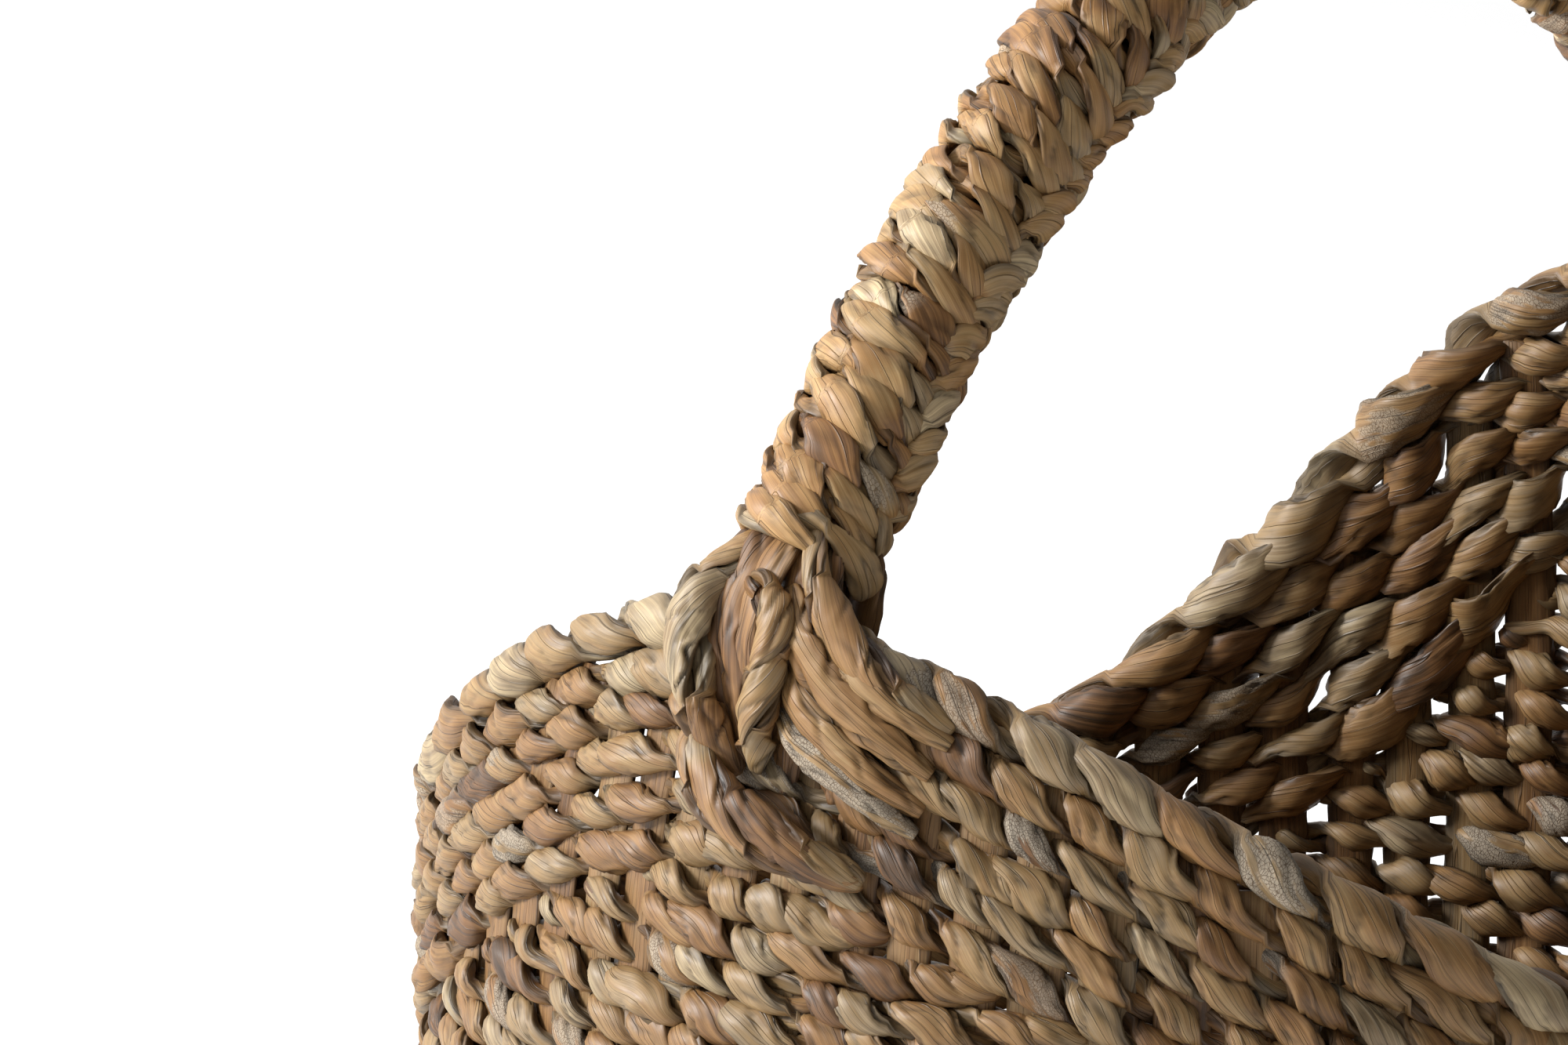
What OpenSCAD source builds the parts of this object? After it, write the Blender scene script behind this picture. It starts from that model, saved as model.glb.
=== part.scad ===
// Seagrass storage basket with one arched handle.
// A round barrel of twined weft rows on upright stakes, a saddle rim that climbs to the two
// handle roots, a twined base and a wrapped handle lashed astride the rim.
// Origin: centre of the base on the floor. +Z up. The handle spans along X.

/* [Basket] */
// Height of the rim top at the two handle roots
peak_height = 300; // [260:1:340]
// Radius of the stake circle at the fullest part of the wall
belly_radius = 229; // [210:1:250]
// Height of the fullest part of the wall
belly_height = 150; // [130:1:170]
// Radius of the barrel curve, seen from the side
wall_curve = 500; // [420:10:700]

/* [Rim line] */
// How far the front of the rim dips below the roots
front_dip = 112; // [90:1:125]
// How far the back of the rim dips below the roots
back_dip = 158; // [110:1:165]
// Extra droop of the hand-made rim, back right
slump = 40; // [0:1:42]
// Bearing of that droop, degrees from +X towards the back
slump_at = 53; // [45:1:60]
// Half width of that droop, degrees
slump_width = 30; // [26:1:36]
// Small rise of the rim just behind the far root
lift = 5; // [0:1:6]

/* [Weave] */
// Distance from one weft row to the next, along the wall
row_pitch = 10.6; // [10.2:0.1:12]
// Height of one flattened weft strand
strand_height = 10; // [8:0.1:10]
// Thickness of one flattened weft strand
strand_thickness = 4.6; // [3.6:0.1:5]
// Diameter of an upright stake
stake_diameter = 3.2; // [2.4:0.1:3.4]
// Number of upright stakes
stake_count = 80; // [72:4:108]
// Full rows, counted from the floor
full_rows = 5; // [4:1:5]
// Rows that run side by side with the rim
course_rows = 5; // [4:1:5]
// Height of the twisted rim border
border_height = 13; // [11:0.5:14]
// Thickness of one border strand
border_thickness = 8.4; // [7:0.1:8.8]

/* [Handle] */
// Rise of the handle's centre line above the rim roots
handle_rise = 144.4; // [143:0.1:146]
// Radius of the crown of the arch
crown_radius = 178.6; // [177:0.1:180]
// Half angle of the crown
crown_half = 40; // [39:0.5:41]
// Radius of each leg of the arch
leg_radius = 496; // [490:1:500]
// Outer diameter of the wrapped handle
wrap_diameter = 34; // [33:0.5:36]
// Thickness of the wrapping
wrap_thickness = 4.6; // [3.5:0.1:4.8]
// Diameter of the bent cane in the middle
core_diameter = 12; // [9:0.5:12]
// Strands laid lengthwise round the cane
bundle_strands = 8; // [6:1:8]

/* [Base] */
// Diameter of the woven button in the middle of the base
button_diameter = 26; // [20:1:30]
// Radial spokes in the base
spoke_count = 32; // [24:4:36]

/* [Hidden] */
$fn = 48;
gap = 0.5;
side_steps = 64;
rim_probes = 12;
stake_r = stake_diameter / 2;
strand_u = stake_r + gap + strand_thickness / 2;
half_strand = strand_height / 2;
pitch_angle = row_pitch / wall_curve * 180 / PI;
row_start = asin((half_strand + gap - belly_height) / wall_curve);
border_u = border_thickness / 2 + 0.4;
border_edge = border_height + gap;
course_edge = border_edge + course_rows * row_pitch;
row_names = [for (i = [1:full_rows]) str("row_0", i)];
course_names = [for (k = [1:course_rows]) str("rim_row_", k)];
top_row = floor((asin((peak_height - belly_height) / wall_curve) - row_start) / pitch_angle);

spoke_r = stake_r;
round_height = 4.4;
spoke_z = round_height + 0.4 + spoke_r;
upper_round_z = spoke_z + spoke_r + 0.4;
base_top = upper_round_z + round_height;
round_first = button_diameter / 2 + gap + half_strand;
base_limit = wall_r(base_top / 2) - strand_u - strand_thickness / 2 - 1.4;
round_count = floor((base_limit - half_strand - round_first) / row_pitch);

crown_z = peak_height + handle_rise - crown_radius;
leg_x = (leg_radius - crown_radius) * sin(crown_half);
leg_z = crown_z - (leg_radius - crown_radius) * cos(crown_half);
wrap_r = wrap_diameter / 2;
foot_z = peak_height + 2;
wrap_end_z = peak_height + 31;
bundle_r = core_diameter / 2 + gap + 2.7;
ridge_r = 3;
collar_r = 3.4;

seat_size = 90;
saddle_top = 2.4;
saddle_thickness = 5;
saddle_inside = 30;
saddle_clear = border_thickness + 0.4 + gap;

// Radius of the stake circle at height z
function wall_r(z) = belly_radius - wall_curve + sqrt(pow(wall_curve, 2) - pow(z - belly_height, 2));

// Lean of the wall at height z
function wall_lean(z) = asin((z - belly_height) / wall_curve);

// One smooth hump, 1 in the middle and 0 from one half width out
function hump(x) = abs(x) < 1 ? pow(cos(90 * x), 2) : 0;

// Height of the top of the rim at bearing a
function rim_z(a) = let (b = (a + 360) % 360, dip = b < 180 ? back_dip : front_dip)
    peak_height - dip / 2 * (1 - cos(2 * b)) - slump * hump((b - slump_at) / slump_width)
    + lift * hump((b - 13) / 13);

// Height of a line that runs d below the rim, measured square to the rim: the lowest point of
// the circles of radius d whose centres lie on the rim
function below_rim(a, d) = let (widest = d / belly_radius * 180 / PI)
    min([for (i = [-rim_probes:rim_probes])
        rim_z(a + widest * i / rim_probes) - d * sqrt(1 - pow(i / rim_probes, 2))]);

// Whether a flat row at height z clears the rows of the rim at bearing a
function clears(z, a) = below_rim(a, course_edge + gap) > z + half_strand;

// Bearing, counted from a root, at which a flat row meets the rows of the rim
function reach(z, root, way, b = 4) =
    b > 88 || !clears(z, root + way * b) ? b - 1 : reach(z, root, way, b + 1);

// Height of the middle of flat row i
function row_z(i) = belly_height + wall_curve * sin(row_start + i * pitch_angle);

// Whether a flat row at height z runs on past the dip of the front
function runs_past_front(z) = reach(z, 180, 1) + reach(z, 0, -1) > 172;

// The rows and the rim rows are drawn in this profile: u is outwards, v is up the wall
module strand() {
    core = strand_height - strand_thickness;
    square([strand_thickness, core], center = true);
    for (v = [-1, 1]) {
        translate([0, v * core / 2]) circle(d = strand_thickness);
    }
}

// Both strands of one flat weft row, over part of the circle
module weft(i, from = 0, sweep = 360) {
    lean = row_start + i * pitch_angle;
    for (side = [-1, 1]) {
        rotate([0, 0, from])
            rotate_extrude(angle = sweep, $fn = 180)
            translate([belly_radius - wall_curve, belly_height])
            rotate([0, 0, lean])
            translate([wall_curve + side * strand_u, 0])
            strand();
    }
}

// A strand that runs d below the rim: u is its middle, half_u and half_v its half sizes
module rim_strand(d, u, half_u, half_v, sides) {
    points = [for (i = [0:side_steps - 1]) for (j = [0:sides - 1])
        let (a = i * 360 / side_steps,
             turn = sides == 8 ? (j + 0.5) * 45 : 90 + j * 360 / sides,
             pu = u + half_u * cos(turn) / cos(180 / sides),
             z = below_rim(a, d - half_v * sin(turn)),
             lean = wall_lean(z),
             r = wall_r(z) + pu * cos(lean))
        [r * cos(a), r * sin(a), z + pu * sin(lean)]];
    faces = [for (i = [0:side_steps - 1]) for (j = [0:sides - 1])
        let (p = i * sides, q = (i + 1) % side_steps * sides, n = (j + 1) % sides)
        each [[p + j, p + n, q + n], [p + j, q + n, q + j]]];
    polyhedron(points, faces, convexity = 6);
}

// Both strands of one row that follows the rim
module rim_course(k) {
    d = border_edge + (k - 0.5) * row_pitch;
    for (side = [-1, 1]) {
        rim_strand(d, side * strand_u, strand_thickness / 2, half_strand, 6);
    }
}

module rim_border(side) {
    rim_strand(border_height / 2, side * border_u, border_thickness / 2 * cos(22.5), border_height / 2, 8);
}

// The rows that are open only under the dip of the back
module long_rows() {
    for (i = [full_rows:top_row]) {
        z = row_z(i);
        if (runs_past_front(z)) {
            near_end = reach(z, 180, -1);
            far_end = reach(z, 0, 1);
            weft(i, 180 - near_end, 180 + near_end + far_end);
        }
    }
}

// The short rows that fill the wedge under one root
module short_rows(root) {
    for (i = [full_rows:top_row]) {
        z = row_z(i);
        if (!runs_past_front(z) && below_rim(root, course_edge + gap) > z + half_strand + 0.6) {
            ahead = reach(z, root, 1);
            behind = reach(z, root, -1);
            weft(i, root - behind, ahead + behind);
        }
    }
}

module stakes() {
    for (i = [0:stake_count - 1]) {
        a = i * 360 / stake_count;
        foot = wall_lean(gap * 2);
        top = wall_lean(below_rim(a, border_height + 1.5));
        rotate([0, 0, a])
            translate([belly_radius - wall_curve, 0, belly_height])
            rotate([90, 0, 0])
            rotate([0, 0, foot])
            rotate_extrude(angle = top - foot, $fn = 180)
            translate([wall_curve, 0])
            circle(r = stake_r, $fn = 24);
    }
}

module base_button() {
    cylinder(d = button_diameter, h = base_top);
}

module base_rounds(z) {
    core = strand_height - round_height;
    for (k = [0:round_count - 1]) {
        rotate_extrude($fn = 120)
            translate([round_first + k * row_pitch, z + round_height / 2]) {
                square([core, round_height], center = true);
                for (u = [-1, 1]) {
                    translate([u * core / 2, 0]) circle(d = round_height);
                }
            }
    }
}

module base_spokes() {
    inner = button_diameter / 2 + gap;
    outer = round_first + (round_count - 0.5) * row_pitch;
    for (i = [0:spoke_count - 1]) {
        rotate([0, 0, i * 360 / spoke_count])
            translate([inner, 0, spoke_z])
            rotate([0, 90, 0])
            cylinder(r = spoke_r, h = outer - inner, $fn = 24);
    }
}

// The last round, which closes the base against the wall
module base_edge() {
    lip = round_first + round_count * row_pitch - half_strand;
    wide = base_limit - lip;
    difference() {
        cylinder(r = lip + wide, h = base_top, $fn = 180);
        translate([0, 0, -1]) cylinder(r = lip, h = base_top + 2, $fn = 180);
    }
}

// Carries a profile along the whole arch of the handle, down to foot_z on both sides
module arch(foot_z) {
    foot = 180 - asin((foot_z - leg_z) / leg_radius);
    rotate([90, 0, 0])
        translate([0, crown_z, 0])
        rotate([0, 0, 90 - crown_half])
        rotate_extrude(angle = 2 * crown_half, $fn = 180)
        translate([crown_radius, 0])
        children();
    for (side = [0, 1]) {
        mirror([side, 0, 0])
            rotate([90, 0, 0])
            translate([leg_x, leg_z, 0])
            rotate([0, 0, 90 + crown_half])
            rotate_extrude(angle = foot - 90 - crown_half, $fn = 180)
            translate([leg_radius, 0])
            children();
    }
}

// Cuts the feet of the handle parallel to the straps that they stand on
module seated() {
    difference() {
        children();
        for (a = [0, 180]) {
            on_rim(a)
                translate([-seat_size / 2, saddle_top + saddle_thickness + gap - seat_size, -seat_size / 2])
                cube(seat_size);
        }
    }
}

module handle_core() {
    seated() arch(foot_z) circle(d = core_diameter);
}

module handle_bundle() {
    for (i = [0:bundle_strands - 1]) {
        seated() arch(foot_z)
            rotate([0, 0, (i + 0.5) * 360 / bundle_strands])
            translate([bundle_r, 0])
            circle(r = 2.7);
    }
}

module handle_wrap() {
    seated() arch(foot_z)
        difference() {
            circle(r = wrap_r);
            circle(r = wrap_r - wrap_thickness);
        }
}

module handle_ridge() {
    arch(wrap_end_z) translate([0, wrap_r + ridge_r + 0.3]) circle(r = ridge_r, $fn = 24);
}

// Puts its child at the top of the rim at bearing a: x outwards, y up the wall, z along the rim
module on_rim(a) {
    z = rim_z(a);
    rotate([0, 0, a])
        translate([wall_r(z), 0, z])
        rotate([90, 0, 0])
        rotate([0, 0, wall_lean(z)])
        children();
}

// A strap folded astride the rim, wide along it, and reaching down the outside
module astride(a, wide, outside) {
    outer = saddle_clear + saddle_thickness;
    on_rim(a)
        translate([0, 0, -wide / 2])
        linear_extrude(wide)
        union() {
            translate([-outer, saddle_top]) square([2 * outer, saddle_thickness]);
            translate([saddle_clear, -outside]) square([saddle_thickness, outside + saddle_top + 1]);
            translate([-outer, -saddle_inside]) square([saddle_thickness, saddle_inside + saddle_top + 1]);
        }
}

// A ring tied round the foot of the handle, just above its end
module foot_ring(side) {
    turn = 180 - asin((wrap_end_z - 6 - leg_z) / leg_radius);
    mirror([side, 0, 0])
        rotate([90, 0, 0])
        translate([leg_x, leg_z, 0])
        rotate([0, 0, turn])
        translate([leg_radius, 0, 0])
        rotate([90, 0, 0])
        rotate_extrude()
        translate([wrap_r + collar_r + 0.3, 0])
        circle(r = collar_r, $fn = 24);
}

// The tie that crosses the outside of the wall under a root
module cross_tie(root) {
    lean = wall_lean(peak_height - 66);
    rotate([0, 0, root - 15])
        rotate_extrude(angle = 30, $fn = 180)
        translate([belly_radius - wall_curve, belly_height])
        rotate([0, 0, lean])
        translate([wall_curve + strand_u + strand_thickness / 2 + 4.6, 0])
        circle(r = 3.6, $fn = 24);
}

for (i = [0:full_rows - 1]) {
    color("#8a6a4c") weft(i);
}
for (k = [1:course_rows]) {
    color("#94734f") rim_course(k);
}
color("#8a6a4c") long_rows();
color("#866546") short_rows(180);  // short_rows_near
color("#866546") short_rows(0);  // short_rows_far
color("#b08a60") stakes();
color("#9a7a58") rim_border(1);  // rim_border_outer
color("#8c6c4c") rim_border(-1);  // rim_border_inner
color("#866546") base_button();
color("#7c5e42") base_rounds(0);  // base_rounds_lower
color("#7c5e42") base_rounds(upper_round_z);  // base_rounds_upper
color("#b08a60") base_spokes();
color("#866546") base_edge();
color("#c2a070") handle_core();
color("#a58258") handle_bundle();
color("#8f7050") handle_wrap();
color("#7e5f42") handle_ridge();
color("#8f7050") astride(180, 30, 46);  // root_bundle_near
color("#7e5f42") astride(173, 16, 44);  // root_loop_near
color("#94734f") astride(187, 16, 44);  // root_braid_near
color("#8a6a4c") cross_tie(180);  // root_tie_near
color("#7e5f42") foot_ring(0);  // foot_ring_near
color("#8f7050") astride(0, 30, 46);  // root_bundle_far
color("#7e5f42") astride(353, 16, 44);  // root_loop_far
color("#94734f") astride(7, 16, 44);  // root_braid_far
color("#8a6a4c") cross_tie(0);  // root_tie_far
color("#7e5f42") foot_ring(1);  // foot_ring_far
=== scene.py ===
import math

import bpy
import numpy as np
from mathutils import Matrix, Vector


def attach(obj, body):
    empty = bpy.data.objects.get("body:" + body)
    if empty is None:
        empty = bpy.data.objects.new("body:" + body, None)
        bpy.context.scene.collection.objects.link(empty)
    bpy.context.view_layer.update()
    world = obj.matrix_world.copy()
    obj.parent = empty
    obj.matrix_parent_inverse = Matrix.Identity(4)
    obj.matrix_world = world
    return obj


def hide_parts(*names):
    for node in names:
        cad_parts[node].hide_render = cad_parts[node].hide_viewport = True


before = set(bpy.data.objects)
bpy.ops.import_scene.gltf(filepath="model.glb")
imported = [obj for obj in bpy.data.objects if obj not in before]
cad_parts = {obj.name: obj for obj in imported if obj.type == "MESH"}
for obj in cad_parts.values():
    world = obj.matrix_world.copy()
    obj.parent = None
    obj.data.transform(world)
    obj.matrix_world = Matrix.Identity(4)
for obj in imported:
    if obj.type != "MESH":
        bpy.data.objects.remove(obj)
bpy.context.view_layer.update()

MM = 0.001

# ---------------------------------------------------------------- the basket's own dimensions, mm
# The wall is a barrel: an arc of radius WALL_CURVE that is widest at BELLY_Z
BELLY_R = 229.0
BELLY_Z = 150.0
WALL_CURVE = 500.0

# The rim is a saddle. It peaks at the two roots, dips at the front and the back, slumps further on
# its way down to the back, and lifts a little beside the far root. Bearings are in degrees from +X
PEAK = 300.0
FRONT_DIP = 112.0
BACK_DIP = 158.0
SLUMP, SLUMP_AT, SLUMP_WIDTH = 40.0, 53.0, 30.0
LIFT, LIFT_AT = 5.0, 13.0

# The weave: full rows at the foot, flat rows above them, COURSES rows side by side with the rim,
# and the border on top
ROW_PITCH = 10.6
HALF_ROW = 5.0
STAKES = 80
STAKE_STEP = 360.0 / STAKES
FULL_ROWS = 5
COURSES = 5
BORDER = 13.0
BORDER_EDGE = BORDER + 0.5
COURSE_EDGE = BORDER_EDGE + COURSES * ROW_PITCH
ROW_START = math.asin((HALF_ROW + 0.5 - BELLY_Z) / WALL_CURVE)
TOP_ROW = int((math.asin((PEAK - BELLY_Z) / WALL_CURVE) - ROW_START) / (ROW_PITCH / WALL_CURVE))

# The handle: a crown arc and two flatter leg arcs that meet it smoothly
HANDLE_RISE = 144.4
CROWN_R = 178.6
CROWN_HALF = math.radians(40.0)
LEG_R = 496.0
CROWN_Z = PEAK + HANDLE_RISE - CROWN_R
LEG_X = (LEG_R - CROWN_R) * math.sin(CROWN_HALF)
LEG_Z = CROWN_Z - (LEG_R - CROWN_R) * math.cos(CROWN_HALF)


# ---------------------------------------------------------------- where the wall and the rim run
def wall_r(z):
    """Radius of the stake circle at height z."""
    return BELLY_R - WALL_CURVE + np.sqrt(WALL_CURVE**2 - (z - BELLY_Z) ** 2)


def wall_lean(z):
    """Angle of the wall's outward direction above the level at height z."""
    return np.arcsin((z - BELLY_Z) / WALL_CURVE)


def hump(x):
    """A smooth bump that is 1 at x = 0 and 0 from x = 1 outwards."""
    return np.where(np.abs(x) < 1, np.cos(np.pi / 2 * np.clip(x, -1, 1)) ** 2, 0.0)


def rim_z(bearing):
    """Height of the top of the rim at a bearing in degrees from +X."""
    b = np.mod(bearing, 360.0)
    dip = np.where(b < 180.0, BACK_DIP, FRONT_DIP)
    return (
        PEAK
        - dip / 2 * (1 - np.cos(np.radians(2 * b)))
        - SLUMP * hump((b - SLUMP_AT) / SLUMP_WIDTH)
        + LIFT * hump((b - LIFT_AT) / LIFT_AT)
    )


def below_rim(bearing, d):
    """Height of a line that runs d below the rim, measured square to it."""
    probe = np.linspace(-1, 1, 25)
    widest = math.degrees(d / BELLY_R)
    around = np.asarray(bearing, float)[..., None] + widest * probe
    return (rim_z(around) - d * np.sqrt(1 - probe**2)).min(-1)


def row_z(i):
    """Height of the middle of flat row i, counted from the floor."""
    return BELLY_Z + WALL_CURVE * math.sin(ROW_START + i * ROW_PITCH / WALL_CURVE)


REACH_FROM, REACH_TO = 4, 88


def reach(z, root, way, tuck=0.0):
    """Bearing, counted from a root, at which a flat row meets the rows of the rim."""
    b = REACH_FROM
    while b <= REACH_TO and below_rim(root + way * b, COURSE_EDGE + 0.5) > z + HALF_ROW - tuck:
        b += 1
    return b - 1


def on_wall(bearing, z):
    """Points on the wall's middle, and the way out of the wall there."""
    t, lean = np.radians(bearing), wall_lean(z)
    r = wall_r(z)
    point = np.stack([r * np.cos(t), r * np.sin(t), z + 0 * t], -1)
    out = np.stack([np.cos(lean) * np.cos(t), np.cos(lean) * np.sin(t), np.sin(lean)], -1)
    return point, out


# ---------------------------------------------------------------- strands
def unit(v):
    """Vectors scaled to length 1."""
    return v / np.maximum(np.linalg.norm(v, axis=-1, keepdims=True), 1e-9)


STEP_WIDTH = 0.16


def steps(s, knots):
    """A value for each pass over a stake, changing fast where the strand dives between two."""
    near = np.floor(s + 0.5).astype(int)
    f = s + 0.5 - np.floor(s + 0.5)
    before = knots[(near - 1) % len(knots)]
    here = knots[near % len(knots)]
    mix = np.clip(f / STEP_WIDTH + 0.5, 0, 1)
    after = knots[(near + 1) % len(knots)]
    mix_after = np.clip((f - 1) / STEP_WIDTH + 0.5, 0, 1)
    return before * (1 - mix) + here * mix * (1 - mix_after) + after * mix_after


def drift(s, knots):
    """Smooth random drift with a new value at each whole s, and the same at both ends of a ring."""
    i = np.floor(s).astype(int)
    f = s - i
    f = f * f * (3 - 2 * f)
    return knots[i % len(knots)] * (1 - f) + knots[(i + 1) % len(knots)] * f


# A strand's folds: how far one runs before it sways, the half width that takes more of them, and
# the raised ridge beside each groove, in radians round the strand
FOLD_WAVE = 30.0
BROAD = 5.5
RIDGE_AT, RIDGE_WIDTH = 0.45, 0.32


def leaf_strand(centre, outward, thick, wide, tone, bark, rng, sides, closed=False, roll=0.0, crease=0.16,
                turn=0.0, flat=1.0):
    """A folded leaf strand along centre. thick and wide are half sizes, all in mm."""
    n = len(centre)
    if closed:
        tangent = unit(np.roll(centre, -1, 0) - np.roll(centre, 1, 0))
        hop = np.linalg.norm(np.roll(centre, -1, 0) - centre, axis=-1)
    else:
        tangent = unit(np.gradient(centre, axis=0))
        hop = np.linalg.norm(np.diff(centre, axis=0, append=centre[-1:]), axis=-1)
    along = np.concatenate([[0], np.cumsum(hop)[:-1]])
    side = unit(np.cross(tangent, outward))
    out = np.cross(side, tangent)
    thick = np.broadcast_to(thick, n)
    wide = np.broadcast_to(wide, n)
    roll = np.broadcast_to(roll, n)
    psi = np.arange(sides) * 2 * np.pi / sides
    length = max(along[-1], 1.0)
    cycles = max(1, round(length / FOLD_WAVE))
    phase = along / length * 2 * np.pi * cycles
    size = np.ones((n, sides))
    folds = 4 if np.max(wide) < BROAD else 6
    # A groove is never narrower than the mesh can draw
    groove = 0.07 + 0.65 * 2 * np.pi / sides
    for k in range(folds):
        at = (k + rng.uniform(-0.3, 0.3)) * 2 * np.pi / folds + turn * along
        at = at + 0.45 * np.sin(phase * rng.integers(1, 3) + rng.uniform(0, 6.28))
        depth = crease * rng.uniform(0.5, 1.3)
        depth = depth * (0.6 + 0.4 * np.sin(phase * rng.integers(1, 4) + rng.uniform(0, 6.28)))
        gap = np.angle(np.exp(1j * (psi[None, :] - at[:, None])))
        size -= depth[:, None] * np.exp(-((gap / groove) ** 2))
        size += 0.45 * depth[:, None] * np.exp(-(((gap - RIDGE_AT) / RIDGE_WIDTH) ** 2))
    size *= 1 + 0.03 * np.sin(phase[:, None] * 3 + 2 * psi[None, :] + rng.uniform(0, 6.28))
    c, s = np.cos(psi), np.sin(psi)
    x = np.sign(c) * np.abs(c) ** flat * size * thick[:, None]
    y = s * size * wide[:, None]
    cr, sr = np.cos(roll)[:, None], np.sin(roll)[:, None]
    xr, yr = x * cr - y * sr, x * sr + y * cr
    verts = centre[:, None, :] + xr[..., None] * out[:, None, :] + yr[..., None] * side[:, None, :]
    offset = rng.uniform(-400, 400, 3)
    # The fibres keep their place round the strand, so they draw together where it narrows
    across = np.stack(np.broadcast_arrays(c * np.mean(thick), s * np.mean(wide), along[:, None]), -1)
    grain = across + offset
    rings = n if closed else n - 1
    i = np.arange(rings)[:, None]
    j = np.arange(sides)[None, :]
    ni, nj = (i + 1) % n, (j + 1) % sides
    faces = np.stack([i * sides + j, i * sides + nj, ni * sides + nj, ni * sides + j], -1).reshape(-1, 4)
    faces = faces[:, ::-1]
    # Painted shade: the colour darkens in each groove and towards the strand's side edges, most on its inner
    # side, where strands shade each other
    edge = np.clip(1.3 * np.abs(s) - 0.45 * c - 0.42, 0, 1) ** 2
    painted_shade = np.clip(np.clip((1 - size) * 4, 0, 1) + edge, 0, 1)
    return {
        "verts": verts.reshape(-1, 3),
        "faces": faces,
        "grain": grain.reshape(-1, 3),
        "tone": np.broadcast_to(np.broadcast_to(tone, n)[:, None], x.shape).reshape(-1),
        "bark": np.broadcast_to(np.broadcast_to(bark, n)[:, None], x.shape).reshape(-1),
        "painted_shade": painted_shade.reshape(-1),
        "caps": [] if closed else [list(range(sides)), list(range((n - 1) * sides, n * sides))[::-1]],
    }


# Twisting: how far a strand widens on a slanting rim, the width of an opening in the weave in
# passes, and the passes over which a loose end tapers
MOST_STRETCH = 1.5
GAP_WIDTH = 0.30
TAPER = 0.8


def twisted(path, normal, s, rng, swing, lift, thick, wide, count, sides, closed=False, ends=False,
            opens=None, loose=1.0, tone_shift=0.0, plies=2, crease=0.16, tight=0.72, barky=0.07, flat=1.2,
            start=0.0):
    """Strands that twist round a path, s counting the passes along it.

    swing is how far they go in and out and lift how far up and down. tight is a strand's width where
    two cross, as a share of its full half width. opens holds how far the weave stands open above and
    below at each pass, and the passes by which s runs ahead of the stakes.
    """
    if closed:
        tangent = unit(np.roll(path, -1, 0) - np.roll(path, 1, 0))
    else:
        tangent = unit(np.gradient(path, axis=0))
    up = unit(np.cross(normal, tangent))
    up = up * np.where(up[:, 2:3].mean() < 0, -1, 1)
    hop = np.linalg.norm(np.gradient(path, axis=0), axis=1)
    stretch = np.clip(hop / np.median(hop), 1.0, MOST_STRETCH)
    wander_up = drift(s / 3, rng.normal(0, 0.45 * loose, max(count // 3, 1)))
    wander_out = drift(s / 2, rng.normal(0, 0.4 * loose, max(count // 2, 1)))
    parts = []
    for p in range(plies):
        shift = rng.normal(0, 0.13 * loose, count)
        widths = np.clip(rng.normal(1.0, 0.13 * loose, count), 0.72, 1.3)
        swings = np.clip(rng.normal(1.0, 0.10 * loose, count), 0.8, 1.25)
        q = s + drift(s, shift)
        turn = np.pi * (q + start + 2.0 * p / plies)
        cos, sin = np.cos(turn), np.sin(turn)
        fat = drift(s + 0.5, widths)
        u = swing * np.sign(cos) * np.abs(cos) ** 0.7 * drift(s + 0.5, swings)
        u = u + wander_out + 0.3 * swing * sin**2
        v = -lift * sin + wander_up + drift(s + 0.3, rng.normal(0, 0.35 * loose, count))
        narrow = np.minimum(tight * stretch**1.5, 1.0)
        w = wide * stretch**0.4 * (narrow + (1 - narrow) * np.abs(cos) ** 1.3) * fat
        h = thick * (0.86 + 0.14 * cos**2) * (0.6 + 0.4 * fat)
        if opens is not None:
            above, below, skew = opens
            at_gap = s - skew - 0.5
            f = stretch**2 * np.exp(-(((at_gap - np.round(at_gap)) / GAP_WIDTH) ** 2))
            a = above[np.round(at_gap).astype(int) % len(above)] * f
            b = below[np.round(at_gap).astype(int) % len(below)] * f
            v = v - a + b
            shrink = 1 - 0.12 * (a + b)
            w, h = w * shrink, h * shrink
            v = v + lift * sin * 0.18 * (a + b)
        if ends:
            edge = np.minimum(s - s[0], s[-1] - s) / TAPER
            taper = np.clip(edge, 0, 1) ** 0.5
            u, v = u * taper, v * taper
            w, h = w * (0.35 + 0.65 * taper), h * (0.35 + 0.65 * taper)
        centre = path + u[:, None] * normal + v[:, None] * up
        facing = unit((cos + 0.35 * np.sign(cos))[:, None] * normal - (0.75 * sin)[:, None] * up)
        tones = np.clip(rng.normal(0.54 + tone_shift, 0.21, count), 0.06, 0.98)
        barks = np.where(rng.random(count) < barky, rng.uniform(0.6, 1.0, count), 0.0)
        parts.append(
            leaf_strand(centre, facing, h, w, steps(q, tones), steps(q, barks), rng, sides, closed,
                        roll=drift(s, rng.normal(0, 0.16 * loose, count)), crease=crease, flat=flat,
                        turn=rng.uniform(0.02, 0.06) if not closed else 0.0)
        )
    return parts


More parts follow.
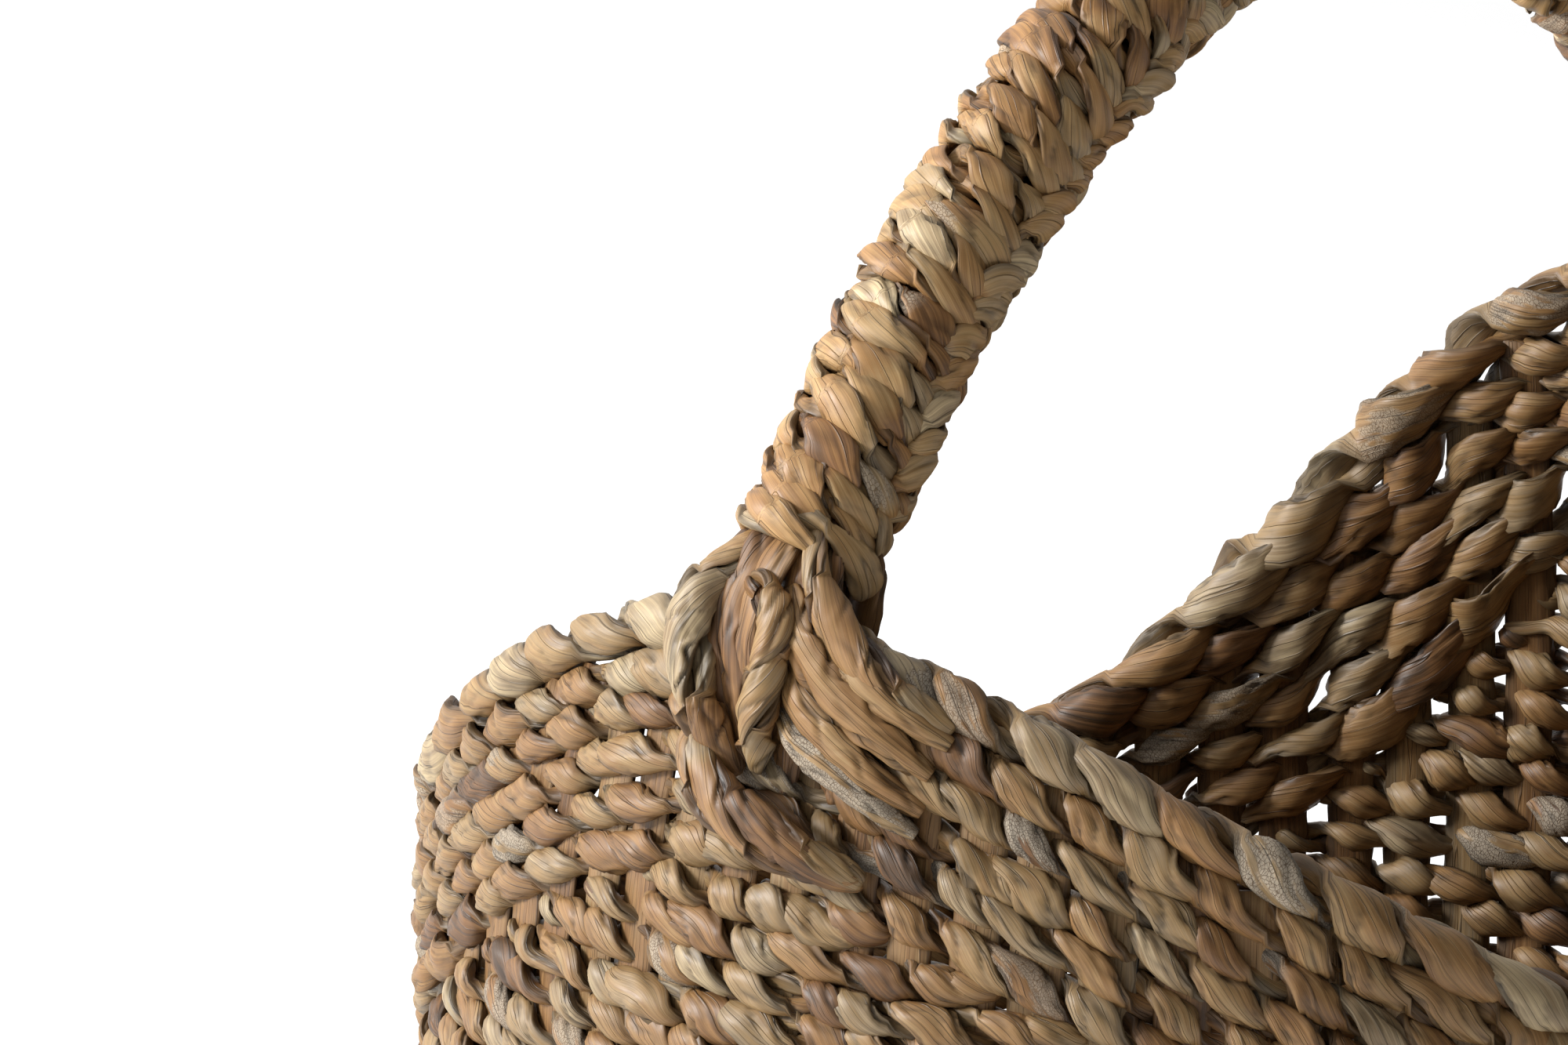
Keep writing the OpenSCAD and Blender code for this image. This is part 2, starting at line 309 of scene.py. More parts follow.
def make_piece(name, nodes, parts, material):
    """One named piece out of its strands, in place of its CAD nodes."""
    base, verts, faces, caps = 0, [], [], []
    grain, tone, bark, painted_shade = [], [], [], []
    for p in parts:
        verts.append(p["verts"])
        faces.append(p["faces"] + base)
        caps += [[k + base for k in cap] for cap in p["caps"]]
        grain.append(p["grain"])
        tone.append(p["tone"])
        bark.append(p["bark"])
        painted_shade.append(p["painted_shade"])
        base += len(p["verts"])
    verts = np.concatenate(verts) * MM
    # The lowest strands are pressed flat on the floor
    verts[:, 2] = np.maximum(verts[:, 2], 0.0)
    quads = np.concatenate(faces)
    loops = np.concatenate([quads.reshape(-1), np.array([k for cap in caps for k in cap], int)])
    sizes = np.concatenate([np.full(len(quads), 4), np.array([len(c) for c in caps], int)])
    mesh = bpy.data.meshes.new(name)
    mesh.vertices.add(len(verts))
    mesh.vertices.foreach_set("co", verts.astype(np.float32).reshape(-1))
    mesh.loops.add(len(loops))
    mesh.loops.foreach_set("vertex_index", loops.astype(np.int32))
    mesh.polygons.add(len(sizes))
    mesh.polygons.foreach_set("loop_start", np.concatenate([[0], np.cumsum(sizes)[:-1]]).astype(np.int32))
    mesh.polygons.foreach_set("loop_total", sizes.astype(np.int32))
    mesh.update(calc_edges=True)
    mesh.polygons.foreach_set("use_smooth", np.ones(len(sizes), bool))
    a = mesh.attributes.new("grain", "FLOAT_VECTOR", "POINT")
    a.data.foreach_set("vector", np.concatenate(grain).astype(np.float32).reshape(-1))
    for key, values in (("tone", tone), ("bark", bark), ("painted_shade", painted_shade)):
        a = mesh.attributes.new(key, "FLOAT", "POINT")
        a.data.foreach_set("value", np.concatenate(values).astype(np.float32))
    mesh.validate()
    mesh.materials.append(material)
    piece = bpy.data.objects.new(name, mesh)
    bpy.context.scene.collection.objects.link(piece)
    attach(piece, "root")
    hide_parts(*nodes)
    return piece


# ---------------------------------------------------------------- materials
def socket(tree, name, way, kind, value=None):
    """A socket on a node group's interface, with its default value."""
    s = tree.interface.new_socket(name, in_out=way, socket_type=kind)
    if value is not None:
        s.default_value = value
    return s


def build_leaf_group():
    """Dry leaf: colour from a tone for each pass, lengthwise fibres, painted shade in folds, along strand
    edges and in thin crease lines, and pale cracked bark.
    """
    tree = bpy.data.node_groups.new("dry_leaf", "ShaderNodeTree")
    socket(tree, "Grain", "INPUT", "NodeSocketVector")
    socket(tree, "Tone", "INPUT", "NodeSocketFloat", 0.5)
    socket(tree, "Bark", "INPUT", "NodeSocketFloat", 0.0)
    socket(tree, "Painted_Shade", "INPUT", "NodeSocketFloat", 0.0)
    socket(tree, "Tone Shift", "INPUT", "NodeSocketFloat", 0.0)
    socket(tree, "Brightness", "INPUT", "NodeSocketFloat", 1.0)
    socket(tree, "Fibre Scale", "INPUT", "NodeSocketFloat", 1.0)
    socket(tree, "Colour", "OUTPUT", "NodeSocketColor")
    socket(tree, "Roughness", "OUTPUT", "NodeSocketFloat")
    socket(tree, "Height", "OUTPUT", "NodeSocketFloat")
    nodes, links = tree.nodes, tree.links
    inp = nodes.new("NodeGroupInput")
    outp = nodes.new("NodeGroupOutput")

    def math_node(op, a, b=None, c=None, clamp=False):
        """A math node's result, for sockets or plain numbers."""
        m = nodes.new("ShaderNodeMath")
        m.operation = op
        m.use_clamp = clamp
        for i, v in enumerate((a, b, c)):
            if v is None:
                continue
            if hasattr(v, "links"):
                links.new(v, m.inputs[i])
            else:
                m.inputs[i].default_value = v
        return m.outputs[0]

    def stretched(x, y, z):
        """The grain coordinate scaled on each axis, and by the fibre scale."""
        m = nodes.new("ShaderNodeVectorMath")
        m.operation = "MULTIPLY"
        links.new(inp.outputs["Grain"], m.inputs[0])
        m.inputs[1].default_value = (x, y, z)
        s = nodes.new("ShaderNodeVectorMath")
        s.operation = "SCALE"
        links.new(m.outputs[0], s.inputs[0])
        links.new(inp.outputs["Fibre Scale"], s.inputs["Scale"])
        return s.outputs[0]

    def noise(vector, detail, rough=0.55, distort=0.0):
        """A noise value at a coordinate."""
        n = nodes.new("ShaderNodeTexNoise")
        links.new(vector, n.inputs["Vector"])
        n.inputs["Scale"].default_value = 1.0
        n.inputs["Detail"].default_value = detail
        n.inputs["Roughness"].default_value = rough
        n.inputs["Distortion"].default_value = distort
        return n.outputs["Fac"]

    def remap(v, lo, hi, out_lo=0.0, out_hi=1.0):
        """A value moved from one range to another."""
        m = nodes.new("ShaderNodeMapRange")
        links.new(v, m.inputs["Value"])
        m.inputs["From Min"].default_value = lo
        m.inputs["From Max"].default_value = hi
        m.inputs["To Min"].default_value = out_lo
        m.inputs["To Max"].default_value = out_hi
        return m.outputs[0]

    def mix(kind, fac, a, b):
        """Two colours mixed, for sockets or plain colours."""
        m = nodes.new("ShaderNodeMix")
        m.data_type = "RGBA"
        m.blend_type = kind
        for key, v in (("Factor", fac), ("A", a), ("B", b)):
            wanted = "VALUE" if key == "Factor" else "RGBA"
            target = next(s for s in m.inputs if s.name == key and s.enabled and s.type == wanted)
            if hasattr(v, "links"):
                links.new(v, target)
            else:
                target.default_value = v
        return next(s for s in m.outputs if s.enabled and s.type == "RGBA")

    fibres = noise(stretched(3.4, 3.4, 0.05), 3.0, 0.6)
    streaks = noise(stretched(1.3, 1.3, 0.035), 3.0, 0.55, 0.2)
    blotch = noise(stretched(0.16, 0.16, 0.07), 2.0, 0.5)
    # Thin lengthwise crease lines: grooves in the relief and darker in colour, partly the leaf's own fibre
    # lines and partly painted shade in the creases
    lines = noise(stretched(0.48, 0.48, 0.012), 0.0, 0.5)
    away = math_node("ABSOLUTE", math_node("SUBTRACT", lines, 0.5))
    lines = remap(away, 0.0, 0.018)
    ramp = nodes.new("ShaderNodeValToRGB")
    el = ramp.color_ramp.elements
    stops = (
        (0.00, (0.075, 0.039, 0.017, 1)),
        (0.18, (0.165, 0.078, 0.028, 1)),
        (0.36, (0.250, 0.128, 0.044, 1)),
        (0.52, (0.278, 0.157, 0.060, 1)),
        (0.68, (0.300, 0.192, 0.084, 1)),
        (0.82, (0.258, 0.180, 0.098, 1)),
        (1.00, (0.395, 0.300, 0.172, 1)),
    )
    while len(el) < len(stops):
        el.new(0.5)
    for e, (pos, col) in zip(el, stops):
        e.position = pos
        e.color = col
    tone = math_node("ADD", inp.outputs["Tone"], inp.outputs["Tone Shift"])
    tone = math_node("ADD", tone, remap(blotch, 0.3, 0.7, -0.13, 0.13))
    tone = math_node("ADD", tone, remap(streaks, 0.3, 0.7, -0.10, 0.10), clamp=True)
    links.new(tone, ramp.inputs["Fac"])
    fine = remap(fibres, 0.38, 0.60, 0.84, 1.08)
    light = math_node("MULTIPLY", remap(streaks, 0.32, 0.68, 0.84, 1.12), fine)
    # Painted shade: darker in the strands' folds and along their side edges
    light = math_node("MULTIPLY", light, remap(inp.outputs["Painted_Shade"], 0.0, 1.0, 1.0, 0.34))
    # Painted shade along the thin crease lines, partly the leaf's own fibre lines
    light = math_node("MULTIPLY", light, remap(lines, 0.0, 1.0, 0.45, 1.0))
    light = math_node("MULTIPLY", light, inp.outputs["Brightness"])
    shade = nodes.new("ShaderNodeCombineXYZ")
    for i in range(3):
        links.new(light, shade.inputs[i])
    leaf = mix("MULTIPLY", 1.0, ramp.outputs["Color"], shade.outputs[0])

    cracks = nodes.new("ShaderNodeTexVoronoi")
    cracks.feature = "DISTANCE_TO_EDGE"
    links.new(stretched(1.3, 1.3, 1.5), cracks.inputs["Vector"])
    cracks.inputs["Scale"].default_value = 1.0
    crack = remap(cracks.outputs["Distance"], 0.01, 0.09)
    patch = remap(noise(stretched(0.26, 0.26, 0.06), 3.0, 0.6), 0.44, 0.50)
    on_bark = math_node("MULTIPLY", patch, inp.outputs["Bark"], clamp=True)
    pale = mix("MIX", crack, (0.13, 0.085, 0.05, 1), (0.36, 0.30, 0.225, 1))
    pale = mix("MULTIPLY", 1.0, pale, shade.outputs[0])
    colour = mix("MIX", on_bark, leaf, pale)
    links.new(colour, outp.inputs["Colour"])
    rough = math_node("ADD", remap(streaks, 0.3, 0.7, 0.42, 0.60), math_node("MULTIPLY", on_bark, 0.25))
    links.new(rough, outp.inputs["Roughness"])
    height = math_node("ADD", math_node("MULTIPLY", fibres, 0.22), math_node("MULTIPLY", streaks, 0.45))
    height = math_node("ADD", height, math_node("MULTIPLY", lines, 0.7))
    height = math_node("ADD", height, math_node("MULTIPLY", math_node("MULTIPLY", crack, on_bark), 0.5))
    links.new(height, outp.inputs["Height"])
    return tree


LEAF = build_leaf_group()
RELIEF = 0.4 * MM


def leaf_material(name, shift, brightness, fibre=1.0, bump=0.7):
    """A dry leaf material with its own tone, brightness, fibre scale and relief."""
    mat = bpy.data.materials.new(name)
    mat.use_nodes = True
    nodes, links = mat.node_tree.nodes, mat.node_tree.links
    bsdf = nodes["Principled BSDF"]
    group = nodes.new("ShaderNodeGroup")
    group.node_tree = LEAF
    for key, out in (("grain", "Vector"), ("tone", "Fac"), ("bark", "Fac"), ("painted_shade", "Fac")):
        a = nodes.new("ShaderNodeAttribute")
        a.attribute_name = key
        links.new(a.outputs[out], group.inputs[key.title()])
    group.inputs["Tone Shift"].default_value = shift
    group.inputs["Brightness"].default_value = brightness
    group.inputs["Fibre Scale"].default_value = fibre
    bumps = nodes.new("ShaderNodeBump")
    bumps.inputs["Strength"].default_value = bump
    bumps.inputs["Distance"].default_value = RELIEF
    links.new(group.outputs["Height"], bumps.inputs["Height"])
    links.new(bumps.outputs["Normal"], bsdf.inputs["Normal"])
    links.new(group.outputs["Colour"], bsdf.inputs["Base Color"])
    links.new(group.outputs["Roughness"], bsdf.inputs["Roughness"])
    bsdf.inputs["Specular IOR Level"].default_value = 0.42
    return mat


weft_leaf = leaf_material("weft_leaf", 0.0, 0.94)
rim_leaf = leaf_material("rim_leaf", 0.02, 1.0, 0.8)
stake_leaf = leaf_material("stake_leaf", 0.08, 0.9)
wrap_leaf = leaf_material("wrap_leaf", -0.02, 1.42, 0.75)
lashing_leaf = leaf_material("lashing_leaf", -0.06, 1.0, 0.85)
cane = leaf_material("bent_cane", 0.2, 1.0, 0.5, 0.2)

# ---------------------------------------------------------------- the weave
# Steps along each pass and points round a strand: FINE for the rows near the rim, PLAIN lower down
FINE = ((12, 36))
PLAIN = ((7, 12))
ROW = {
    "swing": 3.5,
    "lift": 2.7,
    "thick": 2.9,
    "wide": 5.3,
    "tight": 0.56,
    "loose": 1.6,
    "crease": 0.2,
    "flat": 1.3,
}
# The row next to the border is packed tight against it
PACKED = {"lift": 3.2, "wide": 6.0, "loose": 1.3}
# How far each row's twist runs ahead of the row below, in passes, and how far the end of a flat row
# tucks under the rim rows
SKEW = 0.02
TUCK = 4.5
# Round the back, between these bearings, some of the weave stands open by this many mm
BACK_FROM, BACK_TO = 340, 150
OPEN_CHANCE = 0.3
OPEN_LEAST, OPEN_MOST = 0.7, 1.5
GAP_SEED = 9000


def gaps(level):
    """How far the weave stands open above a row, between each two stakes round the back."""
    rng = np.random.default_rng(GAP_SEED + level)
    bearing = (np.arange(STAKES) + 0.5) * STAKE_STEP
    likely = np.where((bearing < BACK_TO) | (bearing > BACK_FROM), OPEN_CHANCE, 0.0)
    return np.where(rng.random(STAKES) < likely, rng.uniform(OPEN_LEAST, OPEN_MOST, STAKES), 0.0)


def row_strands(bearing_from, sweep, height, seed, detail, closed, level, **more):
    """Both strands of one twined row. height gives z for each bearing, level numbers the row."""
    seg, sides = detail
    count = round(sweep / STAKE_STEP * seg)
    k = np.arange(count if closed else count + 1)
    bearing = bearing_from + sweep * k / count
    z = height(bearing)
    path, out = on_wall(bearing, z)
    skew = SKEW * level
    opens = (gaps(level), gaps(level - 1), skew)
    rng = np.random.default_rng(seed)
    return twisted(path, out, bearing / STAKE_STEP + skew, rng, count=STAKES, sides=sides, closed=closed,
                   ends=not closed, opens=opens, **{**ROW, **more})


for i in range(FULL_ROWS):
    z = row_z(i)
    make_piece(f"woven_row_{i + 1}", [f"row_0{i + 1}"],
               row_strands(0, 360, lambda b: z + 0 * b, 100 + i, PLAIN, True, i), weft_leaf)

# Flat rows that the rim rows cut off. A row whose two stretches meet round the front is one long row
FRONT_CLOSED = 172
long_parts, near_parts, far_parts = [], [], []
for i in range(FULL_ROWS, TOP_ROW + 1):
    z = row_z(i)
    if reach(z, 180, 1) + reach(z, 0, -1) > FRONT_CLOSED:
        near_end, far_end = reach(z, 180, -1, TUCK), reach(z, 0, 1, TUCK)
        long_parts += row_strands(180 - near_end, 180 + near_end + far_end, lambda b: z + 0 * b,
                                  200 + i, PLAIN, False, i)
        continue
    for root, parts in ((180, near_parts), (0, far_parts)):
        if below_rim(root, COURSE_EDGE) > z + HALF_ROW:
            behind, ahead = reach(z, root, -1, TUCK), reach(z, root, 1, TUCK)
            parts += row_strands(root - behind, ahead + behind, lambda b: z + 0 * b,
                                 300 + i + root, FINE, False, i)
make_piece("long_woven_rows", ["long_rows"], long_parts, weft_leaf)
make_piece("short_woven_rows_near", ["short_rows_near"], near_parts, weft_leaf)
make_piece("short_woven_rows_far", ["short_rows_far"], far_parts, weft_leaf)

# Rows that run side by side with the rim, numbered down from it
RIM_LEVEL = 60
for k in range(1, COURSES + 1):
    d = BORDER_EDGE + (k - 0.5) * ROW_PITCH
    more = PACKED if k == 1 else {}
    row = row_strands(0, 360, lambda b: below_rim(b, d), 500 + k, FINE, True, RIM_LEVEL - k, **more)
    make_piece(f"rim_side_row_{k}", [f"rim_row_{k}"], row, weft_leaf)


BORDER_PASSES = 66


def border_strands():
    """The two thick strands of the rim border."""
    seg, sides = FINE[0] + 2, FINE[1]
    k = np.arange(BORDER_PASSES * seg)
    bearing = 360.0 * k / len(k)
    path, out = on_wall(bearing, below_rim(bearing, BORDER / 2 + 0.7))
    rng = np.random.default_rng(71)
    return twisted(path, out, bearing / 360 * BORDER_PASSES, rng, swing=4.2, lift=3.2, thick=3.8, wide=6.8,
                   count=BORDER_PASSES, sides=sides, closed=True, crease=0.18, tone_shift=0.03, tight=0.55,
                   barky=0.14, loose=1.2, flat=1.3)


outer_strand, inner_strand = border_strands()
make_piece("border_strand_outer", ["rim_border_outer"], [outer_strand], rim_leaf)
make_piece("border_strand_inner", ["rim_border_inner"], [inner_strand], rim_leaf)

# Stakes: flat pale leaves that run up the wall and end inside the border
STAKE_FOOT = 1.5
STAKE_TONE, STAKE_SPREAD = 0.38, 0.15
stake_parts = []
rng = np.random.default_rng(5)
for i in range(STAKES):
    b = i * STAKE_STEP
    top = float(below_rim(b, BORDER + 1.5))
    z = np.linspace(STAKE_FOOT, top, 40)
    path, out = on_wall(b + rng.normal(0, 0.25) + 0 * z, z)
    tone = np.full(len(z), np.clip(rng.normal(STAKE_TONE, STAKE_SPREAD), 0, 1))
    stake_parts.append(leaf_strand(path, out, 1.5, rng.uniform(6.2, 7.8), tone, 0 * z, rng, 20))
make_piece("upright_stakes", ["stakes"], stake_parts, stake_leaf)

# ---------------------------------------------------------------- the base
BASE_MID = 6.4
BUTTON_R = 13.0
ROUND_FIRST = BUTTON_R + 0.5 + HALF_ROW
WALL_THICK_IN = 4.4 + 2.3 + 1.4
BASE_LIMIT = float(wall_r(BASE_MID)) - WALL_THICK_IN
ROUNDS = int((BASE_LIMIT - HALF_ROW - ROUND_FIRST) / ROW_PITCH)
ROUND_PASS = 15.0
SPOKES = 32


def base_round(r, rng):
    """One twined round of the base, around the spokes."""
    passes = max(8, 2 * round(math.pi * r / ROUND_PASS))
    seg, sides = PLAIN
    k = np.arange(passes * seg)
    t = 2 * np.pi * k / len(k)
    path = np.stack([r * np.cos(t), r * np.sin(t), 0 * t + BASE_MID], -1)
    normal = np.broadcast_to(np.array([0.0, 0.0, 1.0]), path.shape)
    return twisted(path, normal, k / seg, rng, swing=3.0, lift=2.4, thick=2.5, wide=4.6, count=passes,
                   sides=sides, closed=True, loose=0.45)


rng = np.random.default_rng(31)
under, over = [], []
for k in range(ROUNDS):
    a, b = base_round(ROUND_FIRST + k * ROW_PITCH, rng)
    under.append(a)
    over.append(b)
make_piece("base_strands_under", ["base_rounds_lower"], under, weft_leaf)
make_piece("base_strands_over", ["base_rounds_upper"], over, weft_leaf)
edge_parts = []
for r in (ROUND_FIRST + ROUNDS * ROW_PITCH, ROUND_FIRST + (ROUNDS + 1) * ROW_PITCH):
    if r < BASE_LIMIT + 3:
        edge_parts += base_round(r, rng)
make_piece("base_edge_strands", ["base_edge"], edge_parts, weft_leaf)
spoke_parts = []
for i in range(SPOKES):
    t = 2 * math.pi * i / SPOKES
    r = np.linspace(BUTTON_R + 0.5, BASE_LIMIT, 24)
    path = np.stack([r * math.cos(t), r * math.sin(t), 0 * r + BASE_MID], -1)
    normal = np.broadcast_to(np.array([0.0, 0.0, 1.0]), path.shape)
    spoke_parts.append(leaf_strand(path, normal, 1.2, 2.4, np.full(len(r), 0.7), 0 * r, rng, 8))
make_piece("base_spoke_leaves", ["base_spokes"], spoke_parts, stake_leaf)
button_parts = []
knot_points, knot_passes = 60, 8
for r, height in ((4.2, 7.0), (9.0, BASE_MID)):
    k = np.arange(knot_points)
    t = 2 * np.pi * k / knot_points
    path = np.stack([r * np.cos(t), r * np.sin(t), 0 * t + height], -1)
    normal = np.broadcast_to(np.array([0.0, 0.0, 1.0]), path.shape)
    button_parts += twisted(path, normal, k / knot_points * knot_passes, rng, swing=2.6, lift=1.6,
                            thick=2.8, wide=3.6, count=knot_passes, sides=10, closed=True, loose=0.4)
make_piece("base_start_knot", ["base_button"], button_parts, weft_leaf)


# ---------------------------------------------------------------- the handle
def arch(t):
    """Centre and outward normal of the handle at t mm from its crown, with the near root at -t."""
    crown_length = CROWN_R * CROWN_HALF
    side = np.where(t < 0, -1.0, 1.0)
    past = np.maximum(np.abs(t) - crown_length, 0)
    angle = np.minimum(np.abs(t), crown_length) / CROWN_R + past / LEG_R
    on_crown = np.abs(t) <= crown_length
    x = np.where(on_crown, CROWN_R * np.sin(angle), LEG_R * np.sin(angle) - LEG_X) * side
    z = np.where(on_crown, CROWN_Z + CROWN_R * np.cos(angle), LEG_Z + LEG_R * np.cos(angle))
    a = angle * side
    centre = np.stack([x, 0 * x, z], -1)
    normal = np.stack([np.sin(a), 0 * a, np.cos(a)], -1)
    return centre, normal


FRONT = np.array([0.0, -1.0, 0.0])
ROOT_ANGLE = math.asin((PEAK + 2 - LEG_Z) / LEG_R)
ARCH_HALF = CROWN_R * CROWN_HALF + LEG_R * (math.pi / 2 - ROOT_ANGLE - CROWN_HALF)
BARE_LEG = 17.0
WRAP_HALF = ARCH_HALF - BARE_LEG
# How far out from the cane's middle each layer of the handle runs
CANE_R = 6.0
BUNDLE_R = 9.2
BAND_R = 15.2
RIDGE_R = 16.4
RING_R = 16.8
FACING = math.radians(39)


def round_handle(t, beta, r):
    """A point on the handle: t along it, beta round it from its outer side to the front, r out."""
    centre, normal = arch(t)
    way = np.cos(beta)[:, None] * normal + np.sin(beta)[:, None] * FRONT
    return centre + np.asarray(r)[..., None] * way, way


# The wrapping: rings of two leaf bands that twist round each other, each ring slanting to the front
BAND_STEP = 8.3
BAND_END = 3.0
wrap_parts = []
rng = np.random.default_rng(12)
t_loop = -WRAP_HALF + BAND_END
while t_loop < WRAP_HALF - BAND_END:
    seg = 84
    beta = np.arange(seg) * 2 * np.pi / seg
    slant = rng.normal(2.8, 1.3)
    t = t_loop - slant * np.sin(beta - FACING) + drift(beta * 5 / (2 * np.pi), rng.normal(0, 0.6, 5))
    r = BAND_R + drift(beta * 6 / (2 * np.pi), rng.normal(0, 0.4, 6)) + rng.normal(0, 0.3)
    path, way = round_handle(t, beta, r)
    size = rng.uniform(0.92, 1.12)
    turns = 4 if rng.random() < 0.45 else 6
    wrap_parts += twisted(path, way, beta / (2 * np.pi) * turns, rng, swing=1.9, lift=2.7,
                          thick=2.3 * size, wide=5.2 * size, count=turns, sides=24,
                          closed=True, loose=1.3, crease=0.2, tight=0.6, barky=0.06, flat=1.3,
                          start=rng.uniform(0, 2))
    t_loop += BAND_STEP * rng.uniform(0.92, 1.08)
make_piece("leaf_wrapping", ["handle_wrap"], wrap_parts, wrap_leaf)

# The ridge of half hitches along the front of the wrapping
RIDGE = math.radians(104)
RIDGE_HALF = WRAP_HALF - 8.0
RIDGE_PASS = 9.0
passes = round(2 * RIDGE_HALF / RIDGE_PASS)
seg, sides = FINE
k = np.arange(passes * seg + 1)
t = -RIDGE_HALF + 2 * RIDGE_HALF * k / k[-1]
path, way = round_handle(t, RIDGE + 0.16 * np.sin(t / 23.0), RIDGE_R + 0.8 * np.sin(t / 9.0))
make_piece("knot_ridge", ["handle_ridge"],
           twisted(path, way, k / seg, rng, swing=2.2, lift=3.6, thick=2.6, wide=5.0, count=passes,
                   sides=sides, ends=True, crease=0.2, tight=0.6, tone_shift=-0.03, loose=1.6), wrap_leaf)

# The cane and the leaves laid lengthwise round it
BUNDLE_LEAVES = 8
core_t = np.linspace(-ARCH_HALF + 6, ARCH_HALF - 6, 160)
smooth = np.zeros(len(core_t))
centre, normal = arch(core_t)
cane_tone = np.full(len(core_t), 0.7)
make_piece("cane_core", ["handle_core"],
           [leaf_strand(centre, normal, CANE_R, CANE_R, cane_tone, smooth, rng, 24, crease=0.0)], cane)
bundle = []
for i in range(BUNDLE_LEAVES):
    beta = (i + 0.5) * 2 * np.pi / BUNDLE_LEAVES + 0.15 * np.sin(core_t / 60 + i)
    path, way = round_handle(core_t, beta, BUNDLE_R + 0 * core_t)
    tone = np.full(len(core_t), rng.uniform(0.3, 0.6))
    bundle.append(leaf_strand(path, way, 2.4, 3.2, tone, smooth, rng, 12))
make_piece("lengthwise_leaves", ["handle_bundle"], bundle, wrap_leaf)


# ---------------------------------------------------------------- the two roots
def smooth_curve(points, count):
    """A smooth curve through a few given points."""
    p = np.array(points, float)
    knots = np.concatenate([[0], np.cumsum(np.linalg.norm(np.diff(p, axis=0), axis=1) ** 0.5)])
    t = np.linspace(0, knots[-1], count)
    slope = np.gradient(p, knots, axis=0)
    i = np.clip(np.searchsorted(knots, t, side="right") - 1, 0, len(p) - 2)
    h = (knots[i + 1] - knots[i])[:, None]
    f = ((t - knots[i]) / h[:, 0])[:, None]
    return (
        (2 * f**3 - 3 * f**2 + 1) * p[i]
        + (f**3 - 2 * f**2 + f) * h * slope[i]
        + (-2 * f**3 + 3 * f**2) * p[i + 1]
        + (f**3 - f**2) * h * slope[i + 1]
    )


def at_root(root, across, up, out):
    """Points by a root: across along the rim, up from the rim's peak, out from the wall's middle."""
    z = PEAK + up
    bearing = root + np.degrees(across / wall_r(z))
    point, normal = on_wall(bearing, z)
    return point + out[:, None] * normal, normal


def lash(root, points, plies, thick, wide, swing, lift, pass_length, rng, tone_shift=0.0, crease=0.22,
         loose=0.7):
    """Twisted strands that lie along listed points by a root, tapered at both ends."""
    curve = smooth_curve(points, 90)
    path, normal = at_root(root, curve[:, 0], curve[:, 1], curve[:, 2])
    length = np.concatenate([[0], np.cumsum(np.linalg.norm(np.diff(path, axis=0), axis=1))])
    passes = max(2, round(length[-1] / pass_length))
    return twisted(path, normal, length / length[-1] * passes, rng, swing, lift, thick, wide, passes + 1,
                   sides=36, ends=True, tone_shift=tone_shift, plies=plies, crease=crease,
                   loose=loose, barky=0.03)


def flat_leaf(root, points, thick, wide, rng, tone, rolls=(0.0, 0.0), bark=0.0, ends=(0.6, 0.35)):
    """One broad leaf laid over the root, narrowing to its ends."""
    count = 70
    curve = smooth_curve(points, count)
    path, normal = at_root(root, curve[:, 0], curve[:, 1], curve[:, 2])
    f = np.linspace(0, 1, count)
    w = wide * (1 - (1 - ends[0]) * (1 - f) ** 3 - (1 - ends[1]) * f**4)
    w = w * (1 + 0.08 * drift(f * 5, rng.normal(0, 1, 6)))
    tones = np.clip(tone + rng.normal(0, 0.06) + 0 * f, 0.05, 0.95)
    return leaf_strand(path, normal, thick, w, tones, bark + 0 * f, rng, 40, False,
                       rolls[0] * (1 - f) + rolls[1] * f, crease=0.3, flat=1.25)


RING_SLANT = 3.0
RING_PASSES = 4
